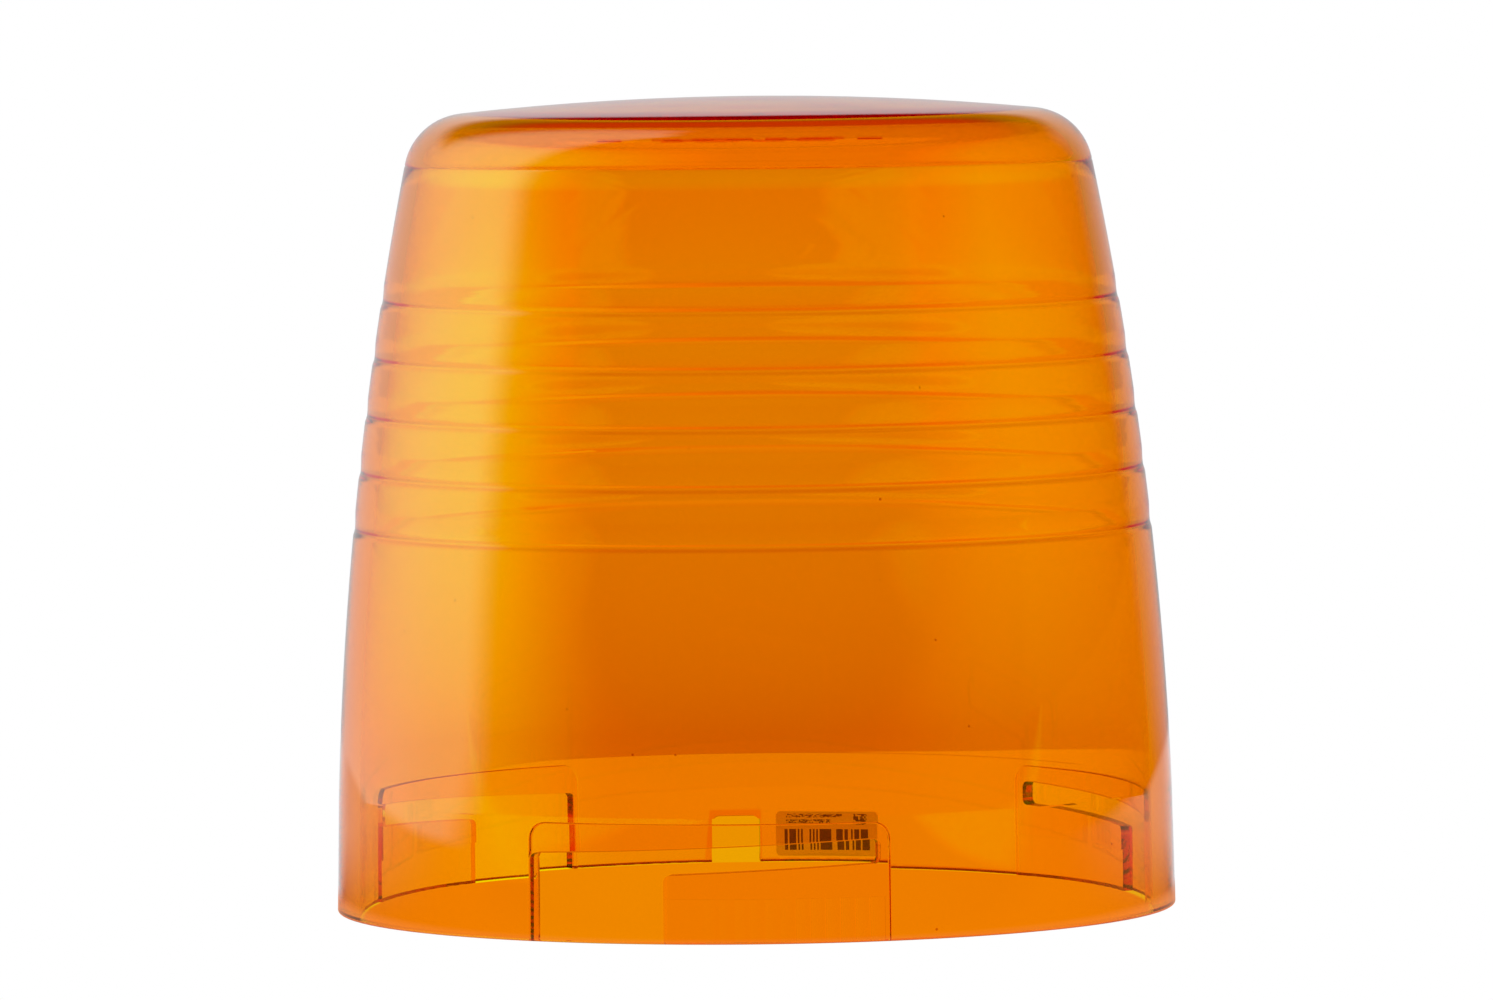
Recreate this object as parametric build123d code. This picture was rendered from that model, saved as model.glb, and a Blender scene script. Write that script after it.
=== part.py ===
from build123d import *

import math
import os

# A twist-on amber beacon lens: one thin-walled moulding, open at the bottom, and its stuck-on part label.
# The origin is on the lens's axis, in the plane of its open rim. +Z is up and -Y is the front.
# Sizes are in millimetres. Angles are in degrees round the axis, from the front (-Y) towards +X.

# Outer form
HEIGHT = 145.0
RIM_RADIUS = 75.0
RIM_ROUND = 0.5
SKIRT_HEIGHT = 21.5
SKIRT_RADIUS = 74.53  # at the top of the skirt, which has a slight draft
WALL_LEAN = 0.0337  # how far the wall leans in, per mm of height, just above the skirt
WALL_CURVE = 0.000753  # and how the lean grows with the height squared
SHOULDER_HEIGHT = 133.5
CORNER_RADIUS = 11.2

# Wall
SKIRT_WALL = 3.7
WALL_THINNING = 0.006  # wall thickness lost per mm of height above the skirt
TOP_WALL = 2.5
INNER_RIM_RADIUS = 71.1

# Shallow grooves round the wall, which the inside of the wall follows
GROOVE_COUNT = 5
LOWEST_GROOVE = 68.7
GROOVE_PITCH = 10.12
GROOVE_BELOW = 1.5  # height of the steep flank under a groove's bottom
GROOVE_ABOVE = 3.5  # height of the gentle flank over it
GROOVE_DEPTH = 0.22
INNER_RIDGE = 0.22

# Fine witness line where the two halves of the mould meet
WITNESS_DEPTH = 0.09
WITNESS_HALF = 0.3

# Bayonet pads inside the rim
PAD_PLACES = (0.0, 117.0, -118.5)  # not quite even, so that the lens goes on one way round
PAD_START = -33.0
PAD_END = 18.7
PAD_HEIGHT = 20.5
PAD_FACE_RADIUS = 69.8
PAD_ROOT_RADIUS = 72.9
PAD_CORNER = 3.0
PAD_EDGE_ROUND = 0.3

# L-shaped channel in each pad: an entry open at the rim, and a ramp that leads from it to a closed end
CHANNEL_FLOOR_RADIUS = 72.6
ENTRY_START = -32.2
ENTRY_END = -12.7
RAMP_END = 17.0
RAMP_TOP = 16.83  # height of the ramp's upper side, at the front of the pad
RAMP_TOP_RISE = 0.0408  # its rise per mm to the right
RAMP_SIDE = 12.44
RAMP_SIDE_RISE = 0.0468
CHANNEL_CORNER = 1.1

# Ledge under the channel, and the ratchet teeth under the front pad's ledge
LEDGE_HEIGHT = 7.5
LEDGE_STEP = 0.35
TOOTH_COUNT = 12
TOOTH_START = -7.2
TOOTH_PITCH = 2.1
TOOTH_SHALLOW = 0.05
TOOTH_DEEP = 0.55

# Keying notch in the rim
NOTCH_ANGLE = 183.0
NOTCH_WIDTH = 9.1
NOTCH_HEIGHT = 9.9
NOTCH_CORNER = 1.5

# Blank raised marks under the crown
MARK_HEIGHT = 0.7
SQUARE_SIDE = 4.5
SQUARE_PLACES = ((-25.0, 12.0), (22.0, 12.0))
BAR_DEPTH = 1.9
BAR_ROWS = {6.0: (5, 11, 4, 8), 10.5: (9, 5, 12), 15.0: (4, 8, 6, 7)}  # place along Y: bar lengths
BAR_GAP = 2.2

# Printed part label on the outside of the skirt
LABEL_START = 161.6
LABEL_END = 177.0
LABEL_LOW = 0.8
LABEL_HIGH = 10.5
LABEL_THICKNESS = 0.15
LABEL_CORNER = 0.9


def outer_radius(z):
    """Radius of the outside of the wall, above the skirt."""
    rise = z - SKIRT_HEIGHT
    return SKIRT_RADIUS - WALL_LEAN * rise - WALL_CURVE * rise**2


def inner_radius(z):
    """Radius of the inside of the wall, above the skirt."""
    return outer_radius(z) - SKIRT_WALL + WALL_THINNING * (z - SKIRT_HEIGHT)


def skirt_radius(z):
    """Radius of the outside of the drafted skirt."""
    return RIM_RADIUS - (RIM_RADIUS - SKIRT_RADIUS) * z / SKIRT_HEIGHT


def half_flank(radius_at, z_edge, z_bottom, depth):
    """One flank of a groove: a curve from the wall, at z_edge, smoothly down to the groove's bottom."""
    third = (z_bottom - z_edge) / 3
    heights = (z_edge, z_edge + third, z_bottom - third, z_bottom)
    depths = (0, 0, depth, depth)
    return Bezier(*[(radius_at(z) - dip, z) for z, dip in zip(heights, depths)])


def side_edges(radius_at, groove_depth, low, high):
    """The wall's line from low to high, with its grooves."""
    edges = []
    start = low
    for i in range(GROOVE_COUNT):
        bottom = LOWEST_GROOVE + i * GROOVE_PITCH
        edges.append(band(radius_at, start, bottom - GROOVE_BELOW))
        edges.append(half_flank(radius_at, bottom - GROOVE_BELOW, bottom, groove_depth))
        start = bottom + GROOVE_ABOVE
        edges.append(half_flank(radius_at, start, bottom, groove_depth))
    edges.append(band(radius_at, start, high))
    return edges


def band(radius_at, low, high):
    """A smooth stretch of the wall's line."""
    middle = (low + high) / 2
    return ThreePointArc(*[(radius_at(z), z) for z in (low, middle, high)])


def crown_edges(radius_at, shoulder, corner, top):
    """The rounded shoulder and the crowned top, each tangent to what it meets."""
    lean = math.atan(radius_at(shoulder - 0.5) - radius_at(shoulder + 0.5))
    centre_r = radius_at(shoulder) - corner * math.cos(lean)
    centre_z = shoulder - corner * math.sin(lean)
    tilt = 2 * math.atan((top - centre_z - corner) / centre_r)

    def corner_point(angle):
        return (centre_r + corner * math.cos(angle), centre_z + corner * math.sin(angle))

    crown_start = math.pi / 2 - tilt
    round_edge = ThreePointArc(*[corner_point(a) for a in (lean, (lean + crown_start) / 2, crown_start)])
    edge_r, edge_z = corner_point(crown_start)
    sphere = edge_r / math.sin(tilt)
    half = tilt / 2
    middle = (sphere * math.sin(half), top - sphere * (1 - math.cos(half)))
    return [round_edge, ThreePointArc((edge_r, edge_z), middle, (0, top))]


def shell():
    """The bare bell of the lens, turned about its axis."""
    inner_top = HEIGHT - TOP_WALL
    inner_corner = CORNER_RADIUS - TOP_WALL
    inner_shoulder = SHOULDER_HEIGHT - 0.5
    witness_low = SHOULDER_HEIGHT - 2 * WITNESS_HALF
    witness_middle = SHOULDER_HEIGHT - WITNESS_HALF
    outside = [
        RadiusArc((RIM_RADIUS - RIM_ROUND, 0), (skirt_radius(RIM_ROUND), RIM_ROUND), -RIM_ROUND),
        Line((skirt_radius(RIM_ROUND), RIM_ROUND), (SKIRT_RADIUS, SKIRT_HEIGHT)),
        *side_edges(outer_radius, GROOVE_DEPTH, SKIRT_HEIGHT, witness_low),
        Polyline(
            (outer_radius(witness_low), witness_low),
            (outer_radius(witness_middle) - WITNESS_DEPTH, witness_middle),
            (outer_radius(SHOULDER_HEIGHT), SHOULDER_HEIGHT),
        ),
        *crown_edges(outer_radius, SHOULDER_HEIGHT, CORNER_RADIUS, HEIGHT),
    ]
    inside = [
        Line((INNER_RIM_RADIUS, 0), (inner_radius(SKIRT_HEIGHT), SKIRT_HEIGHT)),
        *side_edges(inner_radius, INNER_RIDGE, SKIRT_HEIGHT, inner_shoulder),
        *crown_edges(inner_radius, inner_shoulder, inner_corner, inner_top),
    ]
    ends = [
        Line((0, inner_top), (0, HEIGHT)),
        Line((INNER_RIM_RADIUS, 0), (RIM_RADIUS - RIM_ROUND, 0)),
    ]
    return revolve(Plane.XZ * make_face(outside + inside + ends), axis=Axis.Z)


def sector(outline, start, end):
    """An outline of radii and heights, swept round the axis from one angle to another."""
    profile = Plane.XZ * make_face(Polyline(*outline, close=True))
    return Rot(0, 0, start - 90) * revolve(profile, axis=Axis.Z, revolution_arc=end - start)


def ring_block(inner, outer, low, high, start, end):
    """A rectangular block bent round the axis."""
    return sector(((inner, low), (outer, low), (outer, high), (inner, high)), start, end)


def at_angle(radius, angle, z=0.0):
    """The point at a radius and an angle from the front."""
    turn = math.radians(angle)
    return Vector(radius * math.sin(turn), -radius * math.cos(turn), z)


def round_edges_near(solid, points, radius):
    """Round the straight edges whose middles are nearest to the given points."""
    straight = solid.edges().filter_by(GeomType.LINE)
    chosen = [min(straight, key=lambda edge: (edge.center() - point).length) for point in points]
    return fillet(chosen, radius)


def bayonet_pad():
    """The front pad, before its channel is cut."""
    block = ring_block(PAD_FACE_RADIUS, PAD_ROOT_RADIUS, 0, PAD_HEIGHT, PAD_START, PAD_END)
    middle = (PAD_FACE_RADIUS + PAD_ROOT_RADIUS) / 2
    corners = [at_angle(middle, angle, PAD_HEIGHT) for angle in (PAD_START, PAD_END)]
    block = round_edges_near(block, corners, PAD_CORNER)
    on_face = [
        edge
        for edge in block.edges()
        if all(abs(math.hypot(corner.X, corner.Y) - PAD_FACE_RADIUS) < 0.01 for corner in edge.vertices())
        and edge.bounding_box().max.Z > RIM_ROUND
    ]
    return fillet(on_face, PAD_EDGE_ROUND)


def under_line(height, rise, low):
    """Everything under a line that climbs to the right, seen from the front."""
    reach = RIM_RADIUS
    outline = Polyline(
        (-reach, low),
        (reach, low),
        (reach, height + rise * reach),
        (-reach, height - rise * reach),
        close=True,
    )
    return extrude(Plane.XZ * make_face(outline), amount=reach + 5)


def channel_cutter():
    """What the front pad's channel removes."""
    inner = PAD_FACE_RADIUS - 1
    outer = CHANNEL_FLOOR_RADIUS
    entry = ring_block(inner, outer, -1, PAD_HEIGHT, ENTRY_START, ENTRY_END)
    ramp = ring_block(inner, outer, 5, PAD_HEIGHT, ENTRY_START, RAMP_END)
    ramp -= under_line(RAMP_SIDE, RAMP_SIDE_RISE, 0)
    cutter = (entry + ramp) & under_line(RAMP_TOP, RAMP_TOP_RISE, -5)

    def top_at(angle):
        return RAMP_TOP + RAMP_TOP_RISE * at_angle(outer, angle).X

    def side_at(angle):
        return RAMP_SIDE + RAMP_SIDE_RISE * at_angle(outer, angle).X

    middle = (inner + outer) / 2
    corners = [
        at_angle(middle, ENTRY_START, top_at(ENTRY_START)),
        at_angle(middle, RAMP_END, top_at(RAMP_END)),
        at_angle(middle, RAMP_END, side_at(RAMP_END)),
        at_angle(middle, ENTRY_END, side_at(ENTRY_END)),
    ]
    return round_edges_near(cutter, corners, CHANNEL_CORNER)


def ledge_cutter(end):
    """What the step under the ledge removes, from the entry to the given angle."""
    inner = PAD_FACE_RADIUS - 1
    return ring_block(inner, PAD_FACE_RADIUS + LEDGE_STEP, -1, LEDGE_HEIGHT, ENTRY_END - 1, end)


def tooth_cutters():
    """What the gaps between the front pad's ratchet teeth remove."""
    cutters = []
    for i in range(TOOTH_COUNT):
        deep = TOOTH_START + i * TOOTH_PITCH
        shallow = deep + TOOTH_PITCH
        outline = Polyline(
            at_angle(PAD_FACE_RADIUS - 1, deep),
            at_angle(PAD_FACE_RADIUS + TOOTH_DEEP, deep),
            at_angle(PAD_FACE_RADIUS + TOOTH_SHALLOW, shallow),
            at_angle(PAD_FACE_RADIUS - 1, shallow),
            close=True,
        )
        cutters.append(Pos(0, 0, -1) * extrude(make_face(outline), amount=LEDGE_HEIGHT + 1))
    return cutters


def notch_cutter():
    """What the keying notch removes."""
    outline = Pos(0, NOTCH_HEIGHT / 2 - NOTCH_CORNER) * RectangleRounded(
        NOTCH_WIDTH, NOTCH_HEIGHT + 2 * NOTCH_CORNER, NOTCH_CORNER
    )
    slab = extrude(Plane.XZ * outline, amount=RIM_RADIUS + 5)
    return Rot(0, 0, NOTCH_ANGLE) * slab


def crown_marks():
    """The blank raised marks under the crown, which follow its curve."""
    top = HEIGHT - TOP_WALL
    crown = crown_edges(inner_radius, SHOULDER_HEIGHT - 0.5, CORNER_RADIUS - TOP_WALL, top)[1]
    edge = crown.position_at(0)
    layer_outline = [
        Pos(0, -MARK_HEIGHT) * crown,
        Pos(0, TOP_WALL / 2) * crown,
        Line((edge.X, edge.Y - MARK_HEIGHT), (edge.X, edge.Y + TOP_WALL / 2)),
        Line((0, top - MARK_HEIGHT), (0, top + TOP_WALL / 2)),
    ]
    layer = revolve(Plane.XZ * make_face(layer_outline), axis=Axis.Z)
    blanks = [Pos(x, y) * Rectangle(SQUARE_SIDE, SQUARE_SIDE) for x, y in SQUARE_PLACES]
    for y, lengths in BAR_ROWS.items():
        x = -(sum(lengths) + BAR_GAP * (len(lengths) - 1)) / 2
        for length in lengths:
            blanks.append(Pos(x + length / 2, y) * Rectangle(length, BAR_DEPTH))
            x += length + BAR_GAP
    return [extrude(blank, amount=HEIGHT) & layer for blank in blanks]


def lens_dome():
    """The whole moulding."""
    lens = shell()
    turns = [Rot(0, 0, place) for place in PAD_PLACES]
    pad = bayonet_pad()
    for turn in turns:
        lens += turn * pad
    channel = channel_cutter()
    for turn in turns:
        lens -= turn * channel
    for turn in turns[1:]:
        lens -= turn * ledge_cutter(PAD_END + 1)
    lens -= ledge_cutter(TOOTH_START)
    for cutter in tooth_cutters():
        lens -= cutter
    lens -= notch_cutter()
    for mark in crown_marks():
        lens += mark
    return lens


def part_label():
    """The film label, which lies on the skirt beside the notch."""
    low, high = skirt_radius(LABEL_LOW), skirt_radius(LABEL_HIGH)
    outline = (
        (low, LABEL_LOW),
        (low + LABEL_THICKNESS, LABEL_LOW),
        (high + LABEL_THICKNESS, LABEL_HIGH),
        (high, LABEL_HIGH),
    )
    film = sector(outline, LABEL_START, LABEL_END)
    corners = [
        at_angle(skirt_radius(z) + LABEL_THICKNESS / 2, angle, z)
        for z in (LABEL_LOW, LABEL_HIGH)
        for angle in (LABEL_START, LABEL_END)
    ]
    return round_edges_near(film, corners, LABEL_CORNER)


os.makedirs("parts", exist_ok=True)
for name, solid in {"lens_dome": lens_dome(), "part_label": part_label()}.items():
    solid.label = name
    export_step(solid, f"parts/{name}.step")
    print(name, round(solid.volume), "mm3", "valid" if solid.is_valid else "NOT VALID")
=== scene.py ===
"""Looks of a clear amber beacon lens, on a white light table.

The frame's metres and axes hold throughout: +Z up, -Y to the front, the rim on z = 0.
The lens's turned surfaces are made again here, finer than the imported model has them.
Their sizes are in millimetres, as the CAD model gives them, and MM turns them into metres.
"""
import math

import bmesh
import bpy
from mathutils import Matrix, Vector
from mathutils.geometry import delaunay_2d_cdt


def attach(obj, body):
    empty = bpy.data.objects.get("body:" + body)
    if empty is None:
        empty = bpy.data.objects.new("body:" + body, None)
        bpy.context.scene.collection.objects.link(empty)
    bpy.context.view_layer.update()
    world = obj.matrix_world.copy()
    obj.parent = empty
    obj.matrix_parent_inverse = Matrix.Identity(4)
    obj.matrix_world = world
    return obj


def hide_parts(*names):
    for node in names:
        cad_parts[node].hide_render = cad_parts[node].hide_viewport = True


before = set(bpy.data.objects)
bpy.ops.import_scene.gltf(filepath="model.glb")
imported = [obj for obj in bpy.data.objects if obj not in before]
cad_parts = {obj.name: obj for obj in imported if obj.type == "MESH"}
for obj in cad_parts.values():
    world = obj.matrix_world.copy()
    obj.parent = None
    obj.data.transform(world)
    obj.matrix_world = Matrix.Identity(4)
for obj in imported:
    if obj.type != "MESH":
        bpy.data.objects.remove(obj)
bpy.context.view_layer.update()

MM = 0.001
WELD = 2e-6  # points closer than this, in metres, are one point

# Outer form
HEIGHT = 145.0
RIM_RADIUS = 75.0
SKIRT_HEIGHT = 21.5
SKIRT_RADIUS = 74.53
WALL_LEAN = 0.0337
WALL_CURVE = 0.000753
SHOULDER_HEIGHT = 133.5
CORNER_RADIUS = 11.2

# Wall
SKIRT_WALL = 3.7
WALL_THINNING = 0.006
TOP_WALL = 2.5
INNER_SHOULDER_DROP = 0.5
INNER_RIM_RADIUS = 71.1
PAD_FACE_RADIUS = 69.8
LEDGE_STEP = 0.35
CHANNEL_FLOOR_RADIUS = 72.6

# Grooves round the wall, and the witness line above them
GROOVE_BOTTOMS = [68.7 + i * 10.12 for i in range(5)]
GROOVE_BELOW = 1.5
GROOVE_ABOVE = 3.5
GROOVE_DEPTH = 0.22
INNER_RIDGE = 0.22
WITNESS_DEPTH = 0.09
WITNESS_HALF = 0.3

# Blank marks under the crown, as x, y, length and depth
MARK_HEIGHT = 0.7
SQUARE_SIDE = 4.5
SQUARE_PLACES = ((-25.0, 12.0), (22.0, 12.0))
BAR_DEPTH = 1.9
BAR_ROWS = {6.0: (5, 11, 4, 8), 10.5: (9, 5, 12), 15.0: (4, 8, 6, 7)}
BAR_GAP = 2.2
MARKS_REACH = 34.0

# Fineness of the turned surfaces
WIDEST_SPAN = 1.2  # of an edge round the axis, in degrees
HALVED_SPAN = 2.6 * WIDEST_SPAN
RING_STEP = 4.0
BELOW_RINGS = 5
ABOVE_RINGS = 7
CORNER_RINGS = 14
CROWN_RINGS = 8
FILL_STEP = 3.0
SHARP_ANGLE = 30.0
HEIGHT_SLACK = 0.001  # points closer than this, in millimetres, to the skirt's top are on it
SURFACE_SLACK = 0.004
LEAST_FACING = 0.98

# Label film, on the back of the skirt
LABEL_START = 161.6
LABEL_END = 177.0
LABEL_LOW = 0.8
LABEL_HIGH = 10.5
LABEL_CORNER = 0.9
LABEL_GAP = 0.03
LABEL_THICKNESS = 0.12
LABEL_STEP = 0.5
LABEL_CORNER_STEPS = 6
LABEL_PAPER = (0.80, 0.78, 0.72, 1)
LABEL_INK = (0.10, 0.09, 0.08, 1)
# What is printed on it, as low and high places across, low and high down, width and height of a cell, and
# the share of cells that are inked. The rows of small cells look like lines of text, from a distance.
LABEL_PRINT = (
    (2.0, 12.9, 0.45, 1.15, 0.28, 0.14, 0.5),
    (2.0, 10.6, 1.75, 2.45, 0.28, 0.14, 0.5),
    (2.0, 12.2, 3.05, 3.75, 0.28, 0.14, 0.5),
    (15.2, 17.9, 0.45, 3.75, 0.30, 0.30, 0.55),
    (1.7, 18.3, 4.6, 8.6, 0.33, 20.0, 0.55),
)

# The plastic: its tint at each pass, how fast each colour fades in it, per metre, and how it bends light
TINT = (0.995, 0.64, 0.01)
FADE = (4.0, 90.0, 1200.0)
PLASTIC_IOR = 1.585
WAVE_DENSITY = 45.0  # per metre
WAVE_HEIGHT = 0.00002
SPECK_DENSITY = 80.0  # per metre
SPECK_RADIUS = 0.0003
SPECK_CORE = 0.6  # share of that radius that has the speck's full colour
SPECK_COLOUR = (0.45, 0.12, 0.01, 1)

# Camera
CAMERA_DISTANCE = 1.9
CAMERA_HEIGHT = 0.1716
CAMERA_ASIDE = -0.001
CAMERA_AIM = 0.0728
CAMERA_ROLL = 0.656
CAMERA_LENS = 256.5

# Light trapped in the wall needs many bounces to get out again, and shows as red lines
MOST_BOUNCES = 160

# Floor
FLOOR_REACH = 8.0
FLOOR_GAP = 0.00005
FLOOR_CORNERS = 128
WHITE = (1, 1, 1, 1)
MOST_RED = 0.99  # brighter light than this has no more red, so that the amber's red isn't washed out

# The lens shows only what is around it, so most of the stage is light of the right colour in the right
# place. A pair is a span: a light starts at its first value and is full at its second. Spans are in metres
# on the floor. In the world round it they are parts of a direction: how far it points up, back or aside.
PAINTED_POOL_COLOUR = (0.95, 0.50, 0.02, 1)  # a painted pool of amber light on the floor inside the rim, for light that comes through the lens
POOL_EDGE = (0.0712, 0.0700)

# Seen through the lens
TABLE_DEPTH = 0.331  # to its back edge, which is bent nearer on the left
TABLE_BEND = 0.0745
TABLE_EDGE = (-0.002, 0.002)
NEAR_COLOUR = (0.95, 1.05, 1.0, 1)
NEARNESS_RANGE = 4.0  # one over the distance, per metre, at the end of the colours below
FAR_COLOURS = (
    (0.050, (0.90, 0.78, 0.50, 1)),
    (0.082, (0.90, 0.94, 0.60, 1)),
    (0.125, (0.87, 1.00, 0.70, 1)),
    (0.304, (0.83, 0.84, 0.50, 1)),
    (0.655, (0.72, 0.57, 0.40, 1)),
)
HORIZON_COLOUR = (0.90, 0.71, 0.50, 1)
OVERHEAD = (0.30, 0.50)
OVERHEAD_SHARE = 0.5
NOTCH_SHADE_COLOUR = (0.93, 0.74, 0.8, 1)  # painted shade, darker in green, on the strip of floor that shows through the notch
NOTCH_STRIP_LEFT = (-0.0100, -0.0096)
NOTCH_STRIP_RIGHT = (0.0014, 0.0010)
NOTCH_STRIP_BACK = (0.200, 0.192)

# How much brighter that is towards the sides: the red, and the green and blue
LEFT_LIFT_NEAR = (0.30, 1.7)
LEFT_LIFT_FAR = (2.0, 1.6)
RIGHT_LIFT_NEAR = (0.07, 0.37)
RIGHT_LIFT_FAR = (0.7, 0.5)
LIFT_DISTANCE = (0.6, 3.0)
LEFT_TURN = (-0.035, -0.085)  # metres aside, per metre away from a point TURN_OFFSET in front of the axis
RIGHT_TURN = (0.03, 0.07)
TURN_OFFSET = 0.6
LEFT_HORIZON = (0.0, -0.07)
RIGHT_HORIZON = (0.03, 0.07)
LIFT_BEHIND = (0.08, 0.2)
TABLE_LIFT_BEHIND = (-0.04, 0.03)
TABLE_LIFT = 0.35

# Seen by way of a mirroring inside the lens, once or often
FRONT_GLOW = (0.60, 0.08, 0.0, 1)  # what is mirrored once sees this far in front, and overhead
OFTEN_LIGHT = 0.9
SIDE_LIGHT = 3.2
BESIDE_LIGHT = 1.0
FRONT_LIGHT = 0.3
FRONT_LIGHT_SLOPES = ((-0.345, 0.1455), (-0.27, -0.1888))  # the front light's right and left edges
FRONT_LIGHT_EDGE = (-0.01, 0.02)
FRONT_LIGHT_START = (-0.05, -0.09)
SIDE_TO_BESIDE = (-0.12, -0.07)
FAR_FRONT_REACH = (0.40, 0.65)
FAR_FRONT_START = (-0.1, -0.2)
AROUND_LIGHT = 0.75
AROUND = (0.75, 0.3)
AROUND_BACK = (-0.3, 0.0)
AROUND_FRONT = (0.0, -0.3)
ABOVE_LIGHT = 0.05
ABOVE_OFTEN_LIGHT = 0.8
GLOWS_BELOW = (0.5, 0.05)  # weaker light than this turns into the glow

# The studio's sides, as the outside of the lens mirrors them
LEFT_LIGHT = 1.15
LEFT_BACK_LIGHT = 0.65
LEFT_DIMMING = (0.3, 0.95)
LEFT_FRONT_EDGE = (-0.24, 0.0)
RIGHT_LIGHT = 0.6
RIGHT_FRONT_EDGE = (0.7, 1.06)
RIGHT_TO_LEFT = (0.15, -0.15)
COVE_TOP = (0.45, 0.30)
BOX_TOP = (0.985, 0.955)
BOX_EDGE = (-0.55, -0.75)

# The floor as the outside of the lens mirrors it
DIM_SIDE = 0.35  # a dim floor nearer than this, a square with round corners
DIM_BACK = 0.45
DIM_EDGE = (0.85, 1.2)
DIM_LIGHT = 0.45
DIM_LIGHT_START = (-0.05, 0.2)
BESIDE = (0.6, 0.1)  # how far out from the rim's side, per metre behind the axis
BESIDE_START = (-0.01, 0.01)
BESIDE_DIM_LIGHT = 0.85
RIM_GLOW = (0.90, 0.42, 0.25, 1)  # a painted amber glow on the floor close to the rim, which the outside of the lens mirrors
RIM_GLOW_REACH = (0.10, 0.078)


class Nodes:
    """Short ways to add and link shader nodes."""

    def __init__(self, tree):
        self.tree = tree
        tree.nodes.clear()

    def add(self, kind, links=None, **settings):
        node = self.tree.nodes.new("ShaderNode" + kind)
        for name, value in settings.items():
            setattr(node, name, value)
        for place, value in (links or {}).items():
            if isinstance(value, bpy.types.NodeSocket):
                self.tree.links.new(value, node.inputs[place])
            else:
                node.inputs[place].default_value = value
        return node

    def maths(self, operation, *values):
        return self.add("Math", dict(enumerate(values)), operation=operation).outputs[0]

    def times(self, value, *others):
        for other in others:
            value = self.maths("MULTIPLY", value, other)
        return value

    def opposite(self, share):
        return self.maths("SUBTRACT", 1.0, share)

    def length(self, x, y):
        return self.maths("SQRT", self.maths("ADD", self.times(x, x), self.times(y, y)))

    def smooth(self, value, low, high):
        """From 0 to 1, as the value goes from one number to the other."""
        links = {"Value": value, "From Min": low, "From Max": high}
        return self.add("MapRange", links, interpolation_type="SMOOTHSTEP").outputs["Result"]

    def mix(self, share, first, second):
        """From the first number to the second, as the share goes from 0 to 1."""
        return self.add("Mix", {0: share, 2: first, 3: second}, data_type="FLOAT").outputs[0]

    def mix_colour(self, share, first, second):
        return self.add("Mix", {0: share, 6: first, 7: second}, data_type="RGBA").outputs[2]

    def ramp(self, value, stops):
        """The colour at a value from 0 to 1, between stops of a place and a colour."""
        node = self.add("ValToRGB", {"Fac": value})
        for place, colour in stops[1:]:
            node.color_ramp.elements.new(place).color = colour
        node.color_ramp.elements[0].position, node.color_ramp.elements[0].color = stops[0]
        node.color_ramp.elements.remove(node.color_ramp.elements[-1])
        return node.outputs["Color"]

    def grey(self, strength):
        """White light of a strength, without the red above MOST_RED."""
        red = self.maths("MINIMUM", strength, MOST_RED)
        return self.add("CombineColor", {0: red, 1: strength, 2: strength}).outputs[0]


# ---------------------------------------------------------------- the lens's mesh


def outer_radius(z):
    """Radius of the outside of the wall, above the skirt, without its grooves."""
    rise = z - SKIRT_HEIGHT
    return SKIRT_RADIUS - WALL_LEAN * rise - WALL_CURVE * rise**2


def inner_radius(z):
    """Radius of the inside of the wall, above the skirt, without its ridges."""
    return outer_radius(z) - SKIRT_WALL + WALL_THINNING * (z - SKIRT_HEIGHT)


def skirt_outside(z):
    return RIM_RADIUS - (RIM_RADIUS - SKIRT_RADIUS) * z / SKIRT_HEIGHT


def skirt_inside(z):
    return INNER_RIM_RADIUS - (INNER_RIM_RADIUS - inner_radius(SKIRT_HEIGHT)) * z / SKIRT_HEIGHT


def groove_share(z):
    """How deep the grooves are at a height: 0 beside them and 1 at their bottoms."""
    for bottom in GROOVE_BOTTOMS:
        if bottom - GROOVE_BELOW < z < bottom + GROOVE_ABOVE:
            flank = GROOVE_BELOW if z < bottom else GROOVE_ABOVE
            near = 1 - abs(z - bottom) / flank
            return near * near * (3 - 2 * near)
    return 0.0


def wall_heights(top):
    """Heights of the wall's rings, close together in the grooves."""
    heights = [SKIRT_HEIGHT]

    def climb(to, count):
        start = heights[-1]
        heights.extend(start + (to - start) * (i + 1) / count for i in range(count))

    for bottom in GROOVE_BOTTOMS:
        edge = bottom - GROOVE_BELOW
        climb(edge, math.ceil((edge - heights[-1]) / RING_STEP))
        climb(bottom, BELOW_RINGS)
        climb(bottom + GROOVE_ABOVE, ABOVE_RINGS)
    climb(top, math.ceil((top - heights[-1]) / RING_STEP))
    return heights


def wall_line(radius_at, depth, top):
    return [(radius_at(z) - depth * groove_share(z), z) for z in wall_heights(top)]


def crown_shape(radius_at, shoulder, corner, top):
    """The line of the rounded shoulder, and the radius of the crown's sphere."""
    lean = math.atan(radius_at(shoulder - 0.5) - radius_at(shoulder + 0.5))
    centre_r = radius_at(shoulder) - corner * math.cos(lean)
    centre_z = shoulder - corner * math.sin(lean)
    tilt = 2 * math.atan((top - centre_z - corner) / centre_r)
    line = []
    for i in range(1, CORNER_RINGS + 1):
        angle = lean + (math.pi / 2 - tilt - lean) * i / CORNER_RINGS
        line.append((centre_r + corner * math.cos(angle), centre_z + corner * math.sin(angle)))
    return line, line[-1][0] / math.sin(tilt)


def crown_height(radius, sphere, top):
    return top - sphere + math.sqrt(sphere**2 - radius**2)


def crown_line(start, end, sphere, top):
    """Rings of the crown, from the shoulder's radius in to a smaller one."""
    radii = [start + (end - start) * (i + 1) / CROWN_RINGS for i in range(CROWN_RINGS)]
    return [(radius, crown_height(radius, sphere, top)) for radius in radii]


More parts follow.
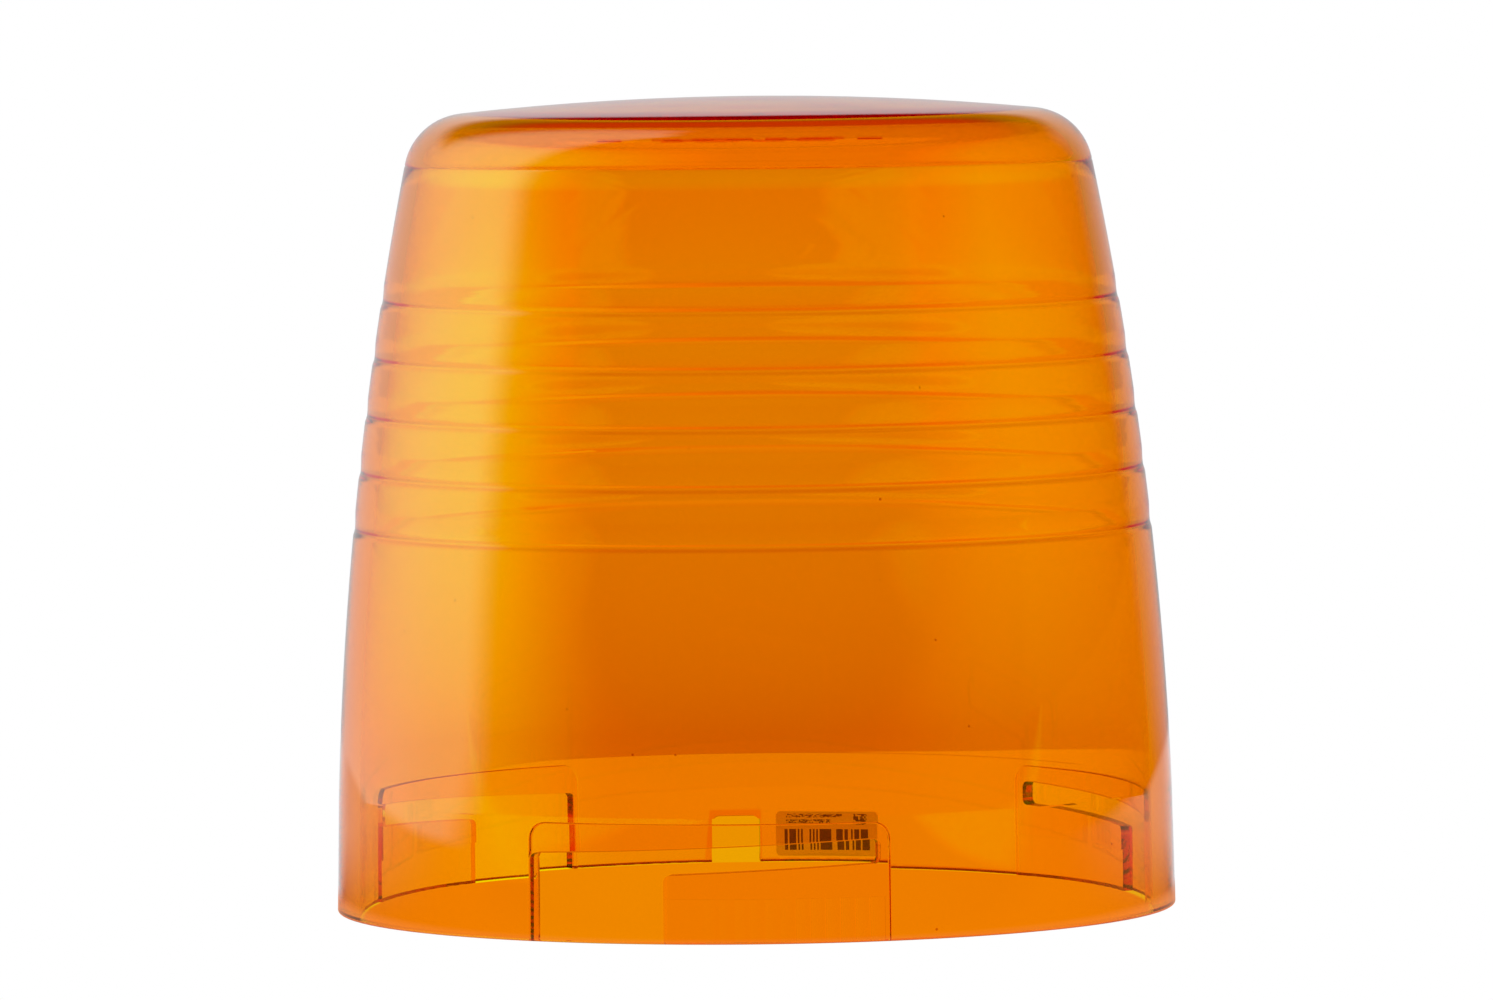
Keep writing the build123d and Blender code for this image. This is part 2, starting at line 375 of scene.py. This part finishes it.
def turned(radius, angle, z):
    """The point at a radius, an angle in radians from +X, and a height."""
    return Vector((radius * math.cos(angle), radius * math.sin(angle), z)) * MM


def add_rings(bm, line, angles):
    """A turned surface: a ring of points for each point of the line. Gives back the last ring."""
    lower = None
    for radius, z in line:
        upper = [bm.verts.new(turned(radius, angle, z)) for angle in angles]
        if lower:
            for i in range(len(angles)):
                bm.faces.new((lower[i - 1], lower[i], upper[i], upper[i - 1]))
        lower = upper
    return lower


def mark_boxes():
    """The crown's blank marks, as the lowest and highest x and y of each."""
    half = SQUARE_SIDE / 2
    boxes = [(x - half, y - half, x + half, y + half) for x, y in SQUARE_PLACES]
    for y, lengths in BAR_ROWS.items():
        x = -(sum(lengths) + BAR_GAP * (len(lengths) - 1)) / 2
        for length in lengths:
            boxes.append((x, y - BAR_DEPTH / 2, x + length, y + BAR_DEPTH / 2))
            x += length + BAR_GAP
    return boxes


def rings_of_points(reach, step):
    """Points spread evenly over a disc."""
    points = [Vector((0, 0))]
    for ring in range(1, int(reach / step)):
        count = 6 * ring
        for i in range(count):
            angle = math.tau * i / count
            points.append(Vector((math.cos(angle), math.sin(angle))) * ring * step)
    return points


def add_marked_crown(bm, ring, sphere, top):
    """Fills the inside of the crown within its last ring, with the blank marks standing down from it."""
    points = [vert.co.xy / MM for vert in ring]
    edges = [(i - 1 if i else len(ring) - 1, i) for i in range(len(ring))]
    boxes = mark_boxes()
    for low_x, low_y, high_x, high_y in boxes:
        first = len(points)
        points += [Vector(p) for p in ((low_x, low_y), (high_x, low_y), (high_x, high_y), (low_x, high_y))]
        edges += [(first + i, first + (i + 1) % 4) for i in range(4)]
    points += rings_of_points(MARKS_REACH, FILL_STEP)
    places, _, faces, *_ = delaunay_2d_cdt(points, edges, [], 0, 0.001)
    verts = [bm.verts.new((*(p * MM), crown_height(p.length, sphere, top) * MM)) for p in places]
    fill = [bm.faces.new([verts[i] for i in face]) for face in faces]
    for low_x, low_y, high_x, high_y in boxes:
        inside = []
        for face in fill:
            x, y = face.calc_center_median().xy / MM
            if low_x < x < high_x and low_y < y < high_y:
                inside.append(face)
        pushed = bmesh.ops.extrude_face_region(bm, geom=inside)["geom"]
        moved = [item for item in pushed if isinstance(item, bmesh.types.BMVert)]
        bmesh.ops.translate(bm, verts=moved, vec=(0, 0, -MARK_HEIGHT * MM))
        bmesh.ops.delete(bm, geom=inside, context="FACES")
        fill = [face for face in fill if face.is_valid]


def skirt_from_frame():
    """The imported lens's skirt, with its bayonet pads and notch, refined round the axis."""
    bm = bmesh.new()
    bm.from_mesh(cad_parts["lens_dome"].data)
    bmesh.ops.remove_doubles(bm, verts=bm.verts, dist=WELD)
    above = [vert for vert in bm.verts if vert.co.z > SKIRT_HEIGHT * MM + WELD]
    bmesh.ops.delete(bm, geom=above, context="VERTS")
    radius = bm.verts.layers.float.new("radius")
    for vert in bm.verts:
        vert[radius] = vert.co.xy.length

    def span(edge):
        first, second = edge.verts
        return math.degrees(first.co.xy.angle(second.co.xy))

    # the widest edges are halved before they are cut in three with the others
    for widest, cuts in ((HALVED_SPAN, 1), (WIDEST_SPAN, 2)):
        wide = [edge for edge in bm.edges if span(edge) > widest]
        bmesh.ops.subdivide_edges(bm, edges=wide, cuts=cuts)
    for vert in bm.verts:
        vert.co.xy *= vert[radius] / vert.co.xy.length
    bm.verts.layers.float.remove(radius)
    return bm


def open_ring(bm, outside):
    """Angles of the open edge at the top of the skirt, on its outside or inside."""
    middle = (SKIRT_RADIUS - SKIRT_WALL / 2) * MM
    ring = [vert for vert in bm.verts if vert.is_boundary and (vert.co.xy.length > middle) == outside]
    return sorted(math.atan2(vert.co.y, vert.co.x) for vert in ring)


def lens_mesh():
    """The whole moulding, closed."""
    bm = skirt_from_frame()
    outside_angles = open_ring(bm, True)
    inside_angles = open_ring(bm, False)

    line = wall_line(outer_radius, GROOVE_DEPTH, SHOULDER_HEIGHT - 2 * WITNESS_HALF)
    witness = SHOULDER_HEIGHT - WITNESS_HALF
    line.append((outer_radius(witness) - WITNESS_DEPTH, witness))
    line.append((outer_radius(SHOULDER_HEIGHT), SHOULDER_HEIGHT))
    shoulder, sphere = crown_shape(outer_radius, SHOULDER_HEIGHT, CORNER_RADIUS, HEIGHT)
    crown = crown_line(shoulder[-1][0], 0, sphere, HEIGHT)
    last = add_rings(bm, line + shoulder + crown[:-1], outside_angles)
    pole = bm.verts.new((0, 0, HEIGHT * MM))
    for i in range(len(last)):
        bm.faces.new((last[i - 1], last[i], pole))

    inner_shoulder = SHOULDER_HEIGHT - INNER_SHOULDER_DROP
    inner_top = HEIGHT - TOP_WALL
    line = wall_line(inner_radius, INNER_RIDGE, inner_shoulder)
    shoulder, sphere = crown_shape(inner_radius, inner_shoulder, CORNER_RADIUS - TOP_WALL, inner_top)
    crown = crown_line(shoulder[-1][0], MARKS_REACH, sphere, inner_top)
    last = add_rings(bm, line + shoulder + crown, inside_angles)
    add_marked_crown(bm, last, sphere, inner_top)

    bmesh.ops.remove_doubles(bm, verts=bm.verts, dist=WELD)
    bmesh.ops.recalc_face_normals(bm, faces=bm.faces)
    mesh = bpy.data.meshes.new("beacon_lens")
    bm.to_mesh(mesh)
    bm.free()
    mesh.attributes.remove(mesh.attributes["custom_normal"])
    return mesh


def skirt_slope(z_radius):
    """How far a surface of the skirt leans in, per mm of height."""
    return (z_radius(0) - z_radius(SKIRT_HEIGHT)) / SKIRT_HEIGHT


def smooth_turned_faces(mesh):
    """Smooth shading, with exact normals on the skirt's turned surfaces and a break at its top."""
    mesh.shade_smooth()
    mesh.set_sharp_from_angle(angle=math.radians(SHARP_ANGLE))
    sharp = mesh.attributes["sharp_edge"].data
    heights = [vert.co.z / MM for vert in mesh.vertices]
    for edge in mesh.edges:
        if all(abs(heights[i] - SKIRT_HEIGHT) < HEIGHT_SLACK for i in edge.vertices):
            sharp[edge.index].value = True
    radii = [vert.co.xy.length / MM for vert in mesh.vertices]
    surfaces = [
        (skirt_outside, 1),
        (skirt_inside, -1),
        (lambda z: PAD_FACE_RADIUS, -1),
        (lambda z: PAD_FACE_RADIUS + LEDGE_STEP, -1),
        (lambda z: CHANNEL_FLOOR_RADIUS, -1),
    ]
    normals = [corner.vector.copy() for corner in mesh.corner_normals]
    for face in mesh.polygons:
        if any(heights[i] > SKIRT_HEIGHT + HEIGHT_SLACK for i in face.vertices):
            continue
        facing = face.normal.xy.dot(face.center.xy.normalized())
        for radius_at, side in surfaces:
            on_it = all(abs(radii[i] - radius_at(heights[i])) < SURFACE_SLACK for i in face.vertices)
            if facing * side > LEAST_FACING and on_it:
                lean = skirt_slope(radius_at)
                for loop, corner in zip(face.loop_indices, face.vertices):
                    out = mesh.vertices[corner].co.xy.normalized()
                    normals[loop] = Vector((out.x, out.y, lean)).normalized() * side
    mesh.normals_split_custom_set(normals)


def label_size():
    return math.radians(LABEL_END - LABEL_START) * RIM_RADIUS, LABEL_HIGH - LABEL_LOW


def label_place(across, up, lift):
    """The point of the label at a place across and up it, and a lift off the lens."""
    angle = math.radians(LABEL_END - 90) - across / RIM_RADIUS
    z = LABEL_LOW + up
    return turned(skirt_outside(z) + lift, angle, z)


def label_mesh():
    """A thin film with rounded corners, bent round the skirt."""
    width, height = label_size()
    inset = LABEL_CORNER
    points = []
    right, top = width - inset, height - inset
    corners = ((right, inset), (right, top), (inset, top), (inset, inset))
    for quarter, (x, y) in enumerate(corners):
        for i in range(LABEL_CORNER_STEPS + 1):
            angle = math.radians(90 * (quarter - 1 + i / LABEL_CORNER_STEPS))
            points.append(Vector((x + inset * math.cos(angle), y + inset * math.sin(angle))))
    edges = [(i - 1 if i else len(points) - 1, i) for i in range(len(points))]
    columns = int((right - inset) / LABEL_STEP)
    rows = int(height / LABEL_STEP)
    for i in range(columns + 1):
        for j in range(1, rows):
            points.append(Vector((inset + (right - inset) * i / columns, height * j / rows)))
    places, _, faces, *_ = delaunay_2d_cdt(points, edges, [], 0, 0.001)
    bm = bmesh.new()
    verts = [bm.verts.new(label_place(*place, LABEL_GAP)) for place in places]
    fill = [bm.faces.new([verts[i] for i in face]) for face in faces]
    pushed = bmesh.ops.extrude_face_region(bm, geom=fill)["geom"]
    for item in pushed:
        if isinstance(item, bmesh.types.BMVert):
            item.co.xy *= 1 + LABEL_THICKNESS * MM / item.co.xy.length
    bmesh.ops.recalc_face_normals(bm, faces=bm.faces)
    print_map = bm.loops.layers.uv.new("print")
    for face in bm.faces:
        for loop in face.loops:
            x, y, z = loop.vert.co
            across = (math.radians(LABEL_END) - math.atan2(x, -y)) * RIM_RADIUS
            loop[print_map].uv = (across / width, (z / MM - LABEL_LOW) / height)
    mesh = bpy.data.meshes.new("print_label")
    bm.to_mesh(mesh)
    bm.free()
    mesh.shade_smooth()
    mesh.set_sharp_from_angle(angle=math.radians(SHARP_ANGLE))
    return mesh


def make_label(material):
    mesh = label_mesh()
    mesh.materials.append(material)
    label = bpy.data.objects.new("print_label", mesh)
    bpy.context.scene.collection.objects.link(label)
    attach(label, "root")
    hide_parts("part_label")


def make_lens(material):
    mesh = lens_mesh()
    smooth_turned_faces(mesh)
    mesh.materials.append(material)
    lens = bpy.data.objects.new("beacon_lens", mesh)
    bpy.context.scene.collection.objects.link(lens)
    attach(lens, "root")
    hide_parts("lens_dome")


# ---------------------------------------------------------------- materials


def amber_plastic():
    """Polished clear plastic whose colour comes from its depth, with faint waves and a few specks."""
    material, nodes = new_material("amber_polycarbonate")
    place = nodes.add("TexCoord").outputs["Object"]
    waves = nodes.add("TexNoise", {"Vector": place, "Scale": WAVE_DENSITY, "Detail": 1.0}).outputs[0]
    bump = nodes.add("Bump", {"Height": waves, "Strength": 1.0, "Distance": WAVE_HEIGHT})
    nearest = nodes.add("TexVoronoi", {"Vector": place, "Scale": SPECK_DENSITY}).outputs["Distance"]
    size = SPECK_RADIUS * SPECK_DENSITY
    speck = nodes.smooth(nearest, size, size * SPECK_CORE)
    colour = nodes.mix_colour(speck, (*TINT, 1), SPECK_COLOUR)
    surface = nodes.add("BsdfPrincipled", {"Base Color": colour, "Normal": bump.outputs["Normal"]})
    surface.inputs["Transmission Weight"].default_value = 1.0
    surface.inputs["IOR"].default_value = PLASTIC_IOR
    surface.inputs["Roughness"].default_value = 0.0
    depth = nodes.add("VolumeAbsorption")
    strongest = max(FADE)
    depth.inputs["Color"].default_value = [1 - fade / strongest for fade in FADE] + [1]
    depth.inputs["Density"].default_value = strongest
    links = {"Surface": surface.outputs["BSDF"], "Volume": depth.outputs["Volume"]}
    nodes.add("OutputMaterial", links)
    return material


def new_material(name):
    material = bpy.data.materials.new(name)
    material.use_nodes = True
    return material, Nodes(material.node_tree)


def within(nodes, value, low, high):
    """1 where the value is between the two, and 0 elsewhere."""
    above = nodes.maths("GREATER_THAN", value, low)
    return nodes.maths("MULTIPLY", above, nodes.maths("LESS_THAN", value, high))


def label_film():
    """Whitish film that lets light through, with blank generic print: lines, a block and a row of bars."""
    material, nodes = new_material("label_film")
    width, height = label_size()
    u, v, _ = nodes.add("SeparateXYZ", {"Vector": nodes.add("UVMap", uv_map="print").outputs["UV"]}).outputs
    across = nodes.maths("MULTIPLY", u, width)
    down = nodes.maths("MULTIPLY_ADD", v, -height, height)
    ink = 0.0
    for low_x, high_x, low_y, high_y, cell_x, cell_y, share in LABEL_PRINT:
        column = nodes.maths("FLOOR", nodes.maths("DIVIDE", across, cell_x))
        row = nodes.maths("FLOOR", nodes.maths("DIVIDE", down, cell_y))
        cell = nodes.add("CombineXYZ", {"X": column, "Y": row, "Z": low_y}).outputs["Vector"]
        chance = nodes.add("TexWhiteNoise", {"Vector": cell}, noise_dimensions="3D").outputs["Value"]
        block = nodes.times(within(nodes, across, low_x, high_x), within(nodes, down, low_y, high_y))
        block = nodes.times(block, nodes.maths("LESS_THAN", chance, share))
        ink = nodes.maths("MAXIMUM", ink, block)
    surface = nodes.add("BsdfPrincipled")
    surface.inputs["Roughness"].default_value = 0.3
    nodes.tree.links.new(nodes.mix_colour(ink, LABEL_PAPER, LABEL_INK), surface.inputs["Base Color"])
    nodes.tree.links.new(nodes.mix(ink, 0.9, 0.4), surface.inputs["Transmission Weight"])
    nodes.add("OutputMaterial", {"Surface": surface.outputs["BSDF"]})
    return material


# ---------------------------------------------------------------- stage


def light_path(nodes):
    """The light path's outputs, and whether the light was mirrored at all and often inside the lens."""
    rays = nodes.add("LightPath").outputs
    mirrorings = rays["Glossy Depth"]
    return rays, nodes.maths("GREATER_THAN", mirrorings, 0.5), nodes.maths("GREATER_THAN", mirrorings, 1.5)


def shown(nodes, rays, bounced, through, inside, outside):
    """The light that reaches the camera: straight, through the lens, mirrored inside it, or outside it."""
    light = nodes.mix_colour(bounced, through, inside)
    light = nodes.mix_colour(rays["Is Reflection Ray"], light, outside)
    return nodes.mix_colour(rays["Is Camera Ray"], light, WHITE)


def studio_sides(nodes, x, y):
    """How bright the studio is near the horizon, as the lens's outside mirrors it, and the parts of that."""
    flat = nodes.maths("MAXIMUM", nodes.length(x, y), 0.0001)
    back = nodes.maths("DIVIDE", y, flat)
    aside = nodes.maths("DIVIDE", x, flat)
    left = nodes.mix(nodes.smooth(back, *LEFT_DIMMING), LEFT_LIGHT, LEFT_BACK_LIGHT)
    left = nodes.times(left, nodes.smooth(back, *LEFT_FRONT_EDGE))
    right = nodes.times(nodes.smooth(back, *RIGHT_FRONT_EDGE), RIGHT_LIGHT)
    return nodes.mix(nodes.smooth(aside, *RIGHT_TO_LEFT), right, left), left, aside, back


def lifted(nodes, colour, left, right, distant):
    """A colour seen through the lens, made brighter towards both sides, and its red held below MOST_RED."""

    def lift(part):
        by_left = nodes.times(left, nodes.mix(distant, LEFT_LIFT_NEAR[part], LEFT_LIFT_FAR[part]))
        by_right = nodes.times(right, nodes.mix(distant, RIGHT_LIFT_NEAR[part], RIGHT_LIFT_FAR[part]))
        return nodes.maths("ADD", nodes.maths("ADD", by_left, by_right), 1.0)

    red, green, blue = nodes.add("SeparateColor", {0: colour}).outputs
    red = nodes.maths("MINIMUM", nodes.times(red, lift(0)), MOST_RED)
    others = lift(1)
    links = {0: red, 1: nodes.times(green, others), 2: nodes.times(blue, others)}
    return nodes.add("CombineColor", links).outputs[0]


def floor_through(nodes, x, y, reach):
    """The floor as it is seen through the lens: the table, and what lies beyond its back edge."""
    left_of_axis = nodes.maths("MINIMUM", x, 0.0)
    bend = nodes.maths("SUBTRACT", TABLE_BEND**2, nodes.times(left_of_axis, left_of_axis))
    bend = nodes.maths("SQRT", nodes.maths("MAXIMUM", bend, 0.0))
    edge = nodes.maths("ADD", bend, TABLE_DEPTH - TABLE_BEND)
    table = nodes.smooth(nodes.maths("SUBTRACT", edge, y), *TABLE_EDGE)
    nearness = nodes.maths("DIVIDE", 1.0 / NEARNESS_RANGE, nodes.maths("MAXIMUM", reach, 0.01))
    colour = nodes.mix_colour(table, nodes.ramp(nearness, FAR_COLOURS), NEAR_COLOUR)

    # painted shade on the strip of floor behind the notch
    notch_shade = nodes.times(nodes.smooth(x, *NOTCH_STRIP_LEFT), nodes.smooth(x, *NOTCH_STRIP_RIGHT))
    notch_shade = nodes.times(notch_shade, nodes.smooth(y, *NOTCH_STRIP_BACK))
    colour = nodes.mix_colour(notch_shade, colour, NOTCH_SHADE_COLOUR)

    on_table = nodes.times(nodes.smooth(y, *TABLE_LIFT_BEHIND), TABLE_LIFT)
    behind = nodes.mix(table, nodes.smooth(y, *LIFT_BEHIND), on_table)
    away = nodes.maths("ADD", nodes.maths("MAXIMUM", y, 0.0), TURN_OFFSET)
    turn = nodes.maths("DIVIDE", x, away)
    left = nodes.times(nodes.smooth(turn, *LEFT_TURN), behind)
    right = nodes.times(nodes.smooth(turn, *RIGHT_TURN), behind)
    return lifted(nodes, colour, left, right, nodes.smooth(reach, *LIFT_DISTANCE))


def floor_inside(nodes, x, y, reach, often):
    """The floor as it is seen by way of a mirroring inside the lens."""
    right_edge, left_edge = (nodes.maths("MULTIPLY_ADD", y, *slope) for slope in FRONT_LIGHT_SLOPES)
    right = nodes.smooth(nodes.maths("SUBTRACT", x, right_edge), *FRONT_LIGHT_EDGE)
    left = nodes.smooth(nodes.maths("SUBTRACT", left_edge, x), *FRONT_LIGHT_EDGE)
    middle = nodes.opposite(nodes.maths("MAXIMUM", left, right))
    front = nodes.times(middle, nodes.smooth(y, *FRONT_LIGHT_START))
    sides = nodes.mix(nodes.smooth(y, *SIDE_TO_BESIDE), SIDE_LIGHT, BESIDE_LIGHT)
    light = nodes.mix(often, nodes.mix(front, sides, FRONT_LIGHT), OFTEN_LIGHT)
    far_front = nodes.times(nodes.smooth(reach, *FAR_FRONT_REACH), nodes.smooth(y, *FAR_FRONT_START))
    return nodes.mix_colour(nodes.times(far_front, nodes.opposite(often)), nodes.grey(light), FRONT_GLOW)


def floor_outside(nodes, x, y, reach):
    """The floor as the outside of the lens mirrors it: a painted amber glow by the rim, dim, and the studio
    further out.
    """
    dim = nodes.times(nodes.smooth(y, *DIM_LIGHT_START), DIM_LIGHT)
    beside = nodes.maths("SUBTRACT", nodes.maths("ABSOLUTE", x), RIM_RADIUS * MM)
    beside = nodes.smooth(nodes.maths("DIVIDE", beside, nodes.maths("MAXIMUM", y, 0.001)), *BESIDE)
    dim = nodes.mix(nodes.times(beside, nodes.smooth(y, *BESIDE_START)), dim, BESIDE_DIM_LIGHT)
    across, along = (
        nodes.maths("POWER", nodes.maths("DIVIDE", nodes.maths("ABSOLUTE", value), whole), 2.0)
        for value, whole in ((x, DIM_SIDE), (y, DIM_BACK))
    )
    far = nodes.smooth(nodes.length(across, along), *DIM_EDGE)
    light = nodes.grey(nodes.mix(far, dim, studio_sides(nodes, x, y)[0]))
    return nodes.mix_colour(nodes.smooth(reach, *RIM_GLOW_REACH), light, RIM_GLOW)


def make_floor():
    """A white table. The light painted on it is amber under the lens, and uneven further out."""
    material, nodes = new_material("white_floor")
    rays, bounced, often = light_path(nodes)
    place = nodes.add("NewGeometry").outputs["Position"]
    x, y, _ = nodes.add("SeparateXYZ", {"Vector": place}).outputs
    reach = nodes.add("VectorMath", {0: place}, operation="LENGTH").outputs["Value"]
    through = floor_through(nodes, x, y, reach)
    inside = floor_inside(nodes, x, y, reach, often)
    light = shown(nodes, rays, bounced, through, inside, floor_outside(nodes, x, y, reach))
    # the painted pool of amber light on the floor under the lens
    light = nodes.mix_colour(nodes.smooth(reach, *POOL_EDGE), light, PAINTED_POOL_COLOUR)
    glow = nodes.add("Emission", {"Color": light, "Strength": 1.0})
    nodes.add("OutputMaterial", {"Surface": glow.outputs["Emission"]})
    bpy.ops.mesh.primitive_circle_add(
        vertices=FLOOR_CORNERS, radius=FLOOR_REACH, fill_type="NGON", location=(0, 0, -FLOOR_GAP)
    )
    floor = bpy.context.object
    floor.name = "floor"
    floor.data.materials.append(material)


def make_world():
    """White round the lens, and the studio that the lens shows: a cove, and a tall light box at the left."""
    world = bpy.data.worlds.new("studio")
    world.use_nodes = True
    bpy.context.scene.world = world
    nodes = Nodes(world.node_tree)
    rays, bounced, often = light_path(nodes)
    x, y, z = nodes.add("SeparateXYZ", {"Vector": nodes.add("TexCoord").outputs["Generated"]}).outputs
    sides, left, aside, back = studio_sides(nodes, x, y)

    turn = nodes.maths("DIVIDE", x, nodes.maths("MAXIMUM", y, 0.1))
    to_left = nodes.smooth(turn, *LEFT_HORIZON)
    to_right = nodes.smooth(turn, *RIGHT_HORIZON)
    through = lifted(nodes, HORIZON_COLOUR, to_left, to_right, 1.0)
    overhead = nodes.mix(nodes.smooth(z, *OVERHEAD), 1.0, OVERHEAD_SHARE)
    through = nodes.add("VectorMath", {0: through, 3: overhead}, operation="SCALE").outputs["Vector"]

    cove = nodes.times(sides, nodes.smooth(z, *COVE_TOP))
    box = nodes.times(left, nodes.smooth(aside, *BOX_EDGE), nodes.smooth(z, *BOX_TOP))
    outside = nodes.maths("MAXIMUM", cove, box)

    around = nodes.smooth(z, *AROUND)
    lit = nodes.times(around, nodes.mix(often, nodes.smooth(back, *AROUND_BACK), 1.0), AROUND_LIGHT)
    least = nodes.mix(often, ABOVE_LIGHT, ABOVE_OFTEN_LIGHT)
    inside = nodes.maths("MAXIMUM", lit, nodes.maths("MAXIMUM", outside, least))
    front = nodes.times(nodes.smooth(back, *AROUND_FRONT), around, nodes.opposite(often))
    glowing = nodes.maths("MAXIMUM", front, nodes.smooth(inside, *GLOWS_BELOW))
    inside = nodes.mix_colour(glowing, nodes.grey(inside), FRONT_GLOW)

    light = shown(nodes, rays, bounced, through, inside, nodes.grey(outside))
    glow = nodes.add("Background", {"Color": light, "Strength": 1.0})
    nodes.add("OutputWorld", {"Surface": glow.outputs["Background"]})


def make_camera():
    camera = bpy.data.objects.new("camera", bpy.data.cameras.new("camera"))
    bpy.context.scene.collection.objects.link(camera)
    camera.data.lens = CAMERA_LENS
    camera.data.sensor_width = 36
    camera.data.clip_end = 50
    place = Vector((CAMERA_ASIDE, -CAMERA_DISTANCE, CAMERA_HEIGHT))
    aim = Vector((CAMERA_ASIDE, 0, CAMERA_AIM))
    turn = (aim - place).to_track_quat("-Z", "Y").to_matrix().to_4x4()
    roll = Matrix.Rotation(math.radians(-CAMERA_ROLL), 4, "Z")
    camera.matrix_world = Matrix.Translation(place) @ turn @ roll
    bpy.context.scene.camera = camera


def set_light_paths():
    """Clear plastic needs many bounces, and true colours need a plain view."""
    scene = bpy.context.scene
    scene.view_settings.view_transform = "Standard"
    cycles = scene.cycles
    cycles.max_bounces = MOST_BOUNCES
    cycles.transmission_bounces = MOST_BOUNCES
    cycles.glossy_bounces = MOST_BOUNCES
    cycles.transparent_max_bounces = 16


make_lens(amber_plastic())
make_label(label_film())
make_floor()
make_world()
make_camera()
set_light_paths()
